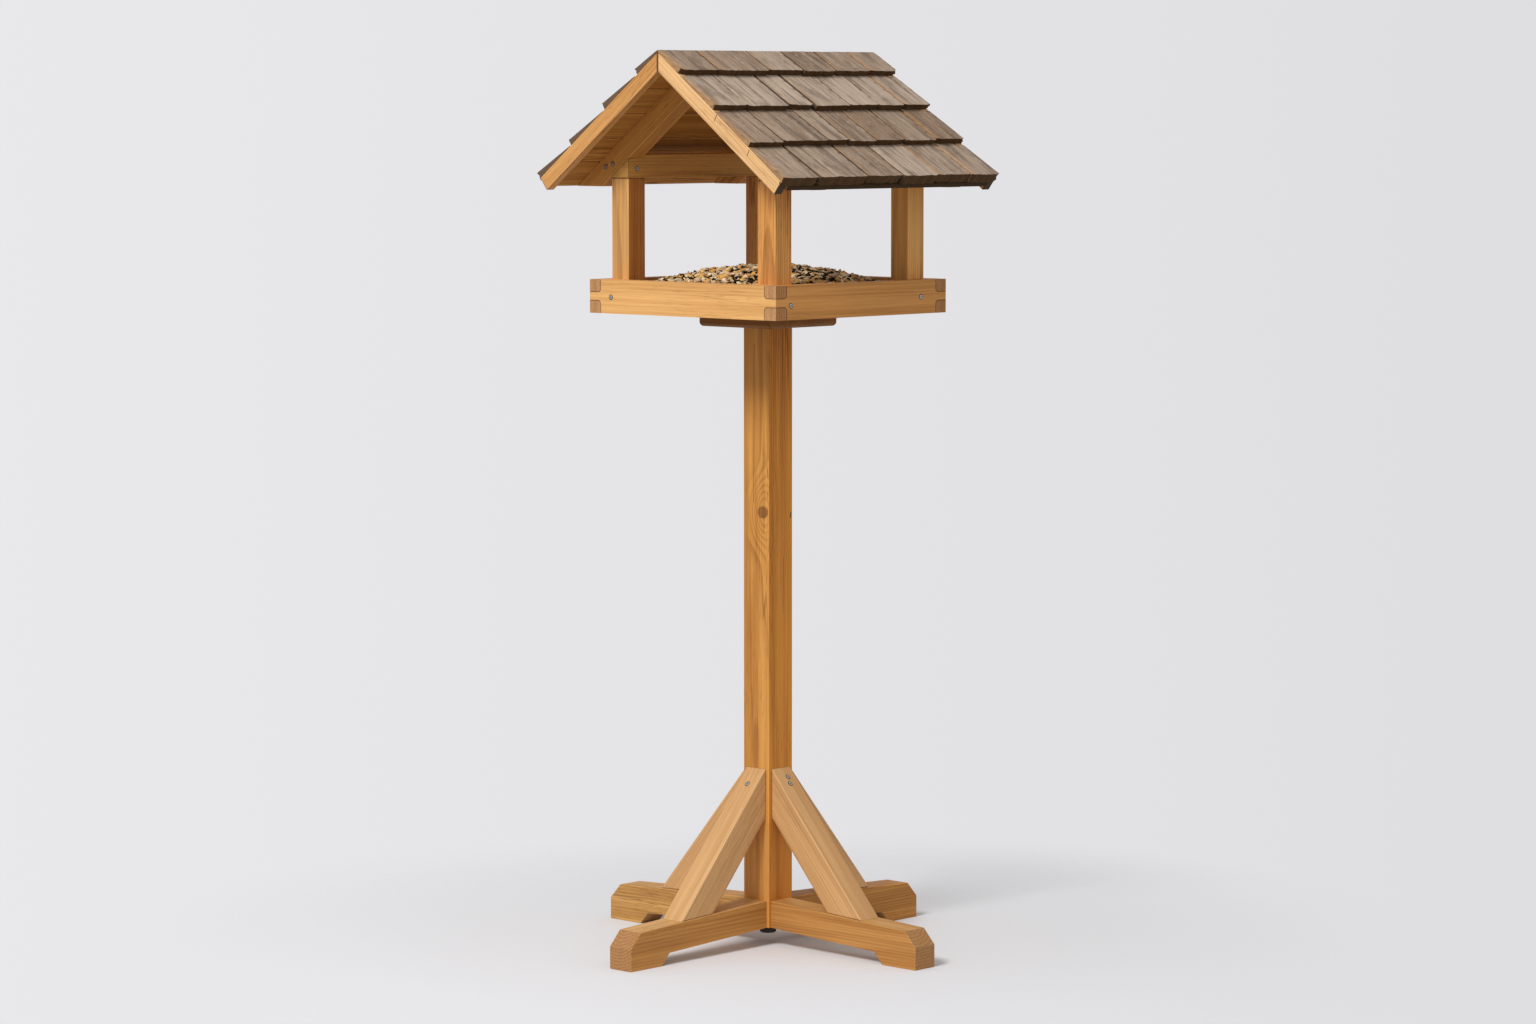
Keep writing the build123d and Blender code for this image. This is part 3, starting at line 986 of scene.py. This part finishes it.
def layFeed():
    shape = feedShape
    rng = random.Random(shape["randomStart"])
    kinds = list(seedKinds)
    shares = [seedKinds[k]["share"] for k in kinds]
    shapes = {k: seedShape(seedKinds[k]) for k in kinds}
    heaps = {}
    for kind in kinds:
        bm = bmesh.new()
        layers = bm.verts.layers.float_vector.new("grain"), bm.verts.layers.float.new("tone")
        heaps[kind] = bm, layers
    spacing = shape["spacing"]
    reach = spacing * shape["jitter"]
    rows = int(2 * heapHigh.y / spacing)
    columns = int(2 * heapHigh.x / spacing)
    for row in range(rows):
        for column in range(columns):
            x = (column + 0.5) * spacing - heapHigh.x + rng.uniform(-reach, reach)
            y = (row + 0.5) * spacing - heapHigh.y + rng.uniform(-reach, reach)
            kind = rng.choices(kinds, shares)[0]
            turn = rng.uniform(0, math.tau)
            tilt, roll = rng.gauss(0, shape["tilt"]), rng.gauss(0, shape["roll"])
            size, tone, lift = rng.uniform(*shape["growth"]), rng.random(), rng.uniform(*shape["lift"])
            if not overTray(x, y):
                continue
            bm, (grainLayer, toneLayer) = heaps[kind]
            before = len(bm.verts)
            bm.from_mesh(shapes[kind])
            bm.verts.ensure_lookup_table()
            fresh = bm.verts[before:]
            for vert in fresh:
                vert[grainLayer] = vert.co + Vector(shape["grainShift"]) * tone
                vert[toneLayer] = tone
            placed = Matrix.Translation((x, y, heapLevel(x, y) + lift))
            for angle, axis in ((turn, "Z"), (tilt, "Y"), (roll, "X")):
                placed = placed @ Matrix.Rotation(angle, 4, axis)
            bmesh.ops.transform(bm, matrix=placed @ Matrix.Scale(size, 4), verts=fresh)
    for kind in kinds:
        facts = seedKinds[kind]
        finish = seedFinish(kind, *facts["colours"], facts["stripe"], facts["rough"])
        piece = addPiece(heaps[kind][0], kind, finish)
        piece.data.shade_smooth()
        bpy.data.meshes.remove(shapes[kind])
        print(kind, len(piece.data.polygons), "faces")


layHuskBed()
layFeed()
print("feed laid")


# countersunk screws with a cross recess
screwShape = {
    "radius": 0.0038,
    "taper": 0.8,  # the lower radius, as a share of the upper one
    "rim": 0.0004,
    "rimSegments": 2,
    # the ring is a dark disc of painted shade round each head
    "ringRadius": 0.0050,
    "ringDepth": 0.0004,
    "proud": 0.0005,
    "depth": 0.0016,
    "slotWidth": 0.0011,
    "slotLength": 0.0046,
    "slotDepth": 0.0011,
    "segments": 20,
    "randomStart": 5,
}
screwSpots = {  # metres from the end and the lower edge of each timber
    "trayFront": {"fromEnd": 0.053, "level": 0.029},
    "traySide": {"fromEnd": 0.067, "level": 0.030},
    "traySideOther": {"fromEnd": 0.038, "level": 0.025},
    "wallPlate": {"fromEnd": 0.022, "level": 0.017},
    "rafter": ((0.0145, -0.0220), (-0.0025, -0.0165)),  # x and z from the outer top edge of the wall plate
    "brace": 0.036,  # down its top face
    "braceUpper": 0.022,
    "braceAside": 0.004,
}


def seatAt(place, normal):  # a frame on a surface, with z along its normal
    facing = Vector(normal).to_track_quat("Z", "Y").to_matrix().to_4x4()
    return Matrix.Translation(Vector(place)) @ facing


def screwHead(bm, seat, turn):
    shape = screwShape
    head = bmesh.new()
    bmesh.ops.create_cone(
        head, cap_ends=True, segments=shape["segments"], radius1=shape["radius"] * shape["taper"],
        radius2=shape["radius"], depth=shape["depth"],
    )
    rimEdges = [e for e in head.edges if all(v.co.z > 0 for v in e.verts)]
    bmesh.ops.bevel(
        head, geom=rimEdges, offset=shape["rim"], affect="EDGES", segments=shape["rimSegments"],
        profile=0.5, material=-1,
    )
    halfWidth, halfLength = shape["slotWidth"] / 2, shape["slotLength"] / 2
    for half in (halfWidth, halfLength):
        for axis in (axisX, axisY):
            for sign in (-1, 1):
                geometry = head.verts[:] + head.edges[:] + head.faces[:]
                bmesh.ops.bisect_plane(head, geom=geometry, plane_co=axis * (sign * half), plane_no=axis)
    cross = []
    for face in head.faces:
        middle = face.calc_center_median()
        near, far = sorted((abs(middle.x), abs(middle.y)))
        if face.normal.z > facingLimits["square"] and near < halfWidth and far < halfLength:
            cross.append(face)
    sunk = bmesh.ops.extrude_face_region(head, geom=cross)["geom"]
    floor = [g for g in sunk if isinstance(g, bmesh.types.BMVert)]
    bmesh.ops.delete(head, geom=cross, context="FACES")
    bmesh.ops.translate(head, verts=floor, vec=(0, 0, -shape["slotDepth"]))
    bmesh.ops.recalc_face_normals(head, faces=head.faces)
    stand = Matrix.Translation((0, 0, shape["proud"] - shape["depth"] / 2))
    bmesh.ops.transform(head, matrix=seat @ Matrix.Rotation(turn, 4, "Z") @ stand, verts=head.verts)
    mesh = meshFrom(head, "screw")
    bm.from_mesh(mesh)
    bpy.data.meshes.remove(mesh)


def paintCountersinkShade(bm, seat):  # painted shade: a dark disc round the head stands in for the shadow in a countersink
    radius = screwShape["ringRadius"]
    bmesh.ops.create_cone(
        bm, cap_ends=True, segments=screwShape["segments"], radius1=radius, radius2=radius,
        depth=screwShape["ringDepth"], matrix=seat,
    )


def screwPlaces():  # (place, normal) of every screw, the near ones repeated about the post
    spots = screwSpots
    trayLow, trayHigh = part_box("tray_board_front")
    sideLow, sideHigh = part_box("tray_board_right")
    plateLow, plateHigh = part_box("wall_plate_right")
    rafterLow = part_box("rafter_front_right")[0]
    tray, plate = spots["trayFront"], spots["wallPlate"]
    trayX, trayZ = trayHigh.x - tray["fromEnd"], trayLow.z + tray["level"]
    plateY, plateZ = plateHigh.y - plate["fromEnd"], plateLow.z + plate["level"]
    for side in (-1, 1):
        for end in (-1, 1):
            if side == end:
                yield (side * trayX, end * -trayLow.y, trayZ), (0, end, 0)
            spot = spots["traySide" if side == end else "traySideOther"]
            sideY, sideZ = sideHigh.y - spot["fromEnd"], sideLow.z + spot["level"]
            yield (side * sideHigh.x, end * sideY, sideZ), (side, 0, 0)
            yield (side * plateLow.x, end * plateY, plateZ), (-side, 0, 0)
            for x, z in spots["rafter"]:
                yield (side * (plateHigh.x + x), end * -rafterLow.y, plateHigh.z + z), (0, end, 0)
    for nodeName in ("brace_front", "brace_right", "brace_back", "brace_left"):
        low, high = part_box(nodeName)
        outwards = outwardsOf(nodeName)
        half = abs((high - low).dot(outwards)) / 2
        inner = middleOf(nodeName).dot(outwards) - half
        fall = braceDirection(nodeName)
        top = outwards * inner + axisZ * high.z
        normal = outwards.cross(axisZ).cross(fall)
        normal = normal if normal.z > 0 else -normal
        yield top + fall * spots["brace"], normal
        if "right" in nodeName or "left" in nodeName:
            yield top + fall * spots["braceUpper"] + axisY * spots["braceAside"], normal


def driveScrews():
    rng = random.Random(screwShape["randomStart"])
    heads, rings = bmesh.new(), bmesh.new()
    seats = [seatAt(*spot) for spot in screwPlaces()]
    for seat in seats:
        screwHead(heads, seat, rng.uniform(0, math.pi))
        paintCountersinkShade(rings, seat)
    addPiece(heads, "screws", spottedFinish("screwSteel", steelLook))
    addPiece(rings, "countersinks", spottedFinish("darkCountersink", rubberAndShadeLook))
    print(len(seats), "screws driven")


driveScrews()
nodes["base_stud"].data.materials.clear()
nodes["base_stud"].data.materials.append(spottedFinish("mattRubber", rubberAndShadeLook))


# studio: pale floor that fades into a pale backdrop, one broad lamp, soft fill
studio = {
    "backdropLeft": (0.815, 0.807, 0.830, 1),
    "backdropRight": (0.735, 0.730, 0.750, 1),
    "backdropSpan": 0.17,  # half the width of the view, as a slope
    "floor": (0.79, 0.788, 0.806, 1),
    "fill": 0.52,
    "fillBelow": 0.42,
    "fillEdge": 0.08,
    "floorRadius": 1.4,
    "floorSegments": 96,
    "fadeFrom": 0.5,
    "fadeTo": 1.3,
    "keyAzimuth": 9,  # degrees, from the gable front towards the right
    "keyHeight": 41,  # degrees
    "keyTarget": 1.0,  # height that the lamp points at
    "keyDistance": 7.0,
    "keySize": 2.2,
    "keyPower": 356,
}
cameraSettings = {
    "azimuth": 43.197,  # degrees, from the gable front towards the right
    "distance": 8.186,
    "height": 1.5208,
    "pitch": 5.16,  # degrees down
    "lens": 107.26,
    "sensor": 36,
}


def grey(level):
    return (level, level, level, 1)


def compass(azimuth):
    angle = math.radians(azimuth)
    return Vector((math.sin(angle), -math.cos(angle), 0))


def placeCamera():
    data = bpy.data.cameras.new("photoCamera")
    data.lens = cameraSettings["lens"]
    data.sensor_width = cameraSettings["sensor"]
    camera = addObject("photoCamera", data)
    azimuth = cameraSettings["azimuth"]
    camera.location = compass(azimuth) * cameraSettings["distance"] + axisZ * cameraSettings["height"]
    camera.rotation_euler = (math.radians(90 - cameraSettings["pitch"]), 0, math.radians(azimuth))
    scene.camera = camera


def paintBackdrop():  # the camera and reflections see the backdrop, the rest of the light is the fill
    world = bpy.data.worlds.new("studio")
    scene.world = world
    world.use_nodes = True
    world.node_tree.nodes.clear()
    wire = Wire(world.node_tree)
    seen = wire.node("LightPath", {}, {}, "Is Camera Ray")
    for ray in ("Is Glossy Ray", "Is Transmission Ray"):
        seen = wire.math("MAXIMUM", seen, wire.node("LightPath", {}, {}, ray))
    facing = wire.node("TexCoord", {}, {}, "Generated")
    rightwards = compass(cameraSettings["azimuth"] + 90)
    across = wire.vector("DOT_PRODUCT", facing, rightwards, "Value")
    share = (1 + across / studio["backdropSpan"]) / 2
    backdrop = share.blend(studio["backdropLeft"], studio["backdropRight"])
    upwards = facing.part("Z").band(-studio["fillEdge"], studio["fillEdge"])
    fill = upwards.blend(grey(studio["fillBelow"]), grey(studio["fill"]))
    background = wire.node("Background", {}, {"Color": seen.blend(fill, backdrop)})
    wire.node("OutputWorld", {}, {"Surface": background})


def hangLamp():
    data = bpy.data.lights.new("keyLamp", "AREA")
    data.shape = "DISK"
    data.size = studio["keySize"]
    data.energy = studio["keyPower"]
    lamp = addObject("keyLamp", data)
    rise = math.radians(studio["keyHeight"])
    direction = compass(studio["keyAzimuth"]) * math.cos(rise) + axisZ * math.sin(rise)
    lamp.location = axisZ * studio["keyTarget"] + direction * studio["keyDistance"]
    lamp.rotation_euler = direction.to_track_quat("Z", "Y").to_euler()


def layFloor():
    finish, wire = newFinish("paleFloor")
    place = wire.place()
    x, y = place.part("X"), place.part("Y")
    away = (x * x + y * y) ** 0.5
    fade = away.band(studio["fadeFrom"], studio["fadeTo"])
    surface = wire.node("BsdfDiffuse", {}, {"Color": studio["floor"]})
    clear = wire.node("BsdfTransparent")
    mixed = wire.node("MixShader", {}, {0: fade, 1: surface, 2: clear})
    wire.node("OutputMaterial", {}, {"Surface": mixed})
    bm = bmesh.new()
    segments, radius = studio["floorSegments"], studio["floorRadius"]
    bmesh.ops.create_circle(bm, cap_ends=True, segments=segments, radius=radius)
    floor = addObject("floor", meshFrom(bm, "floor"))
    floor.data.materials.append(finish)


placeCamera()
paintBackdrop()
hangLamp()
layFloor()
scene.view_settings.view_transform = "Standard"
print("studio set")
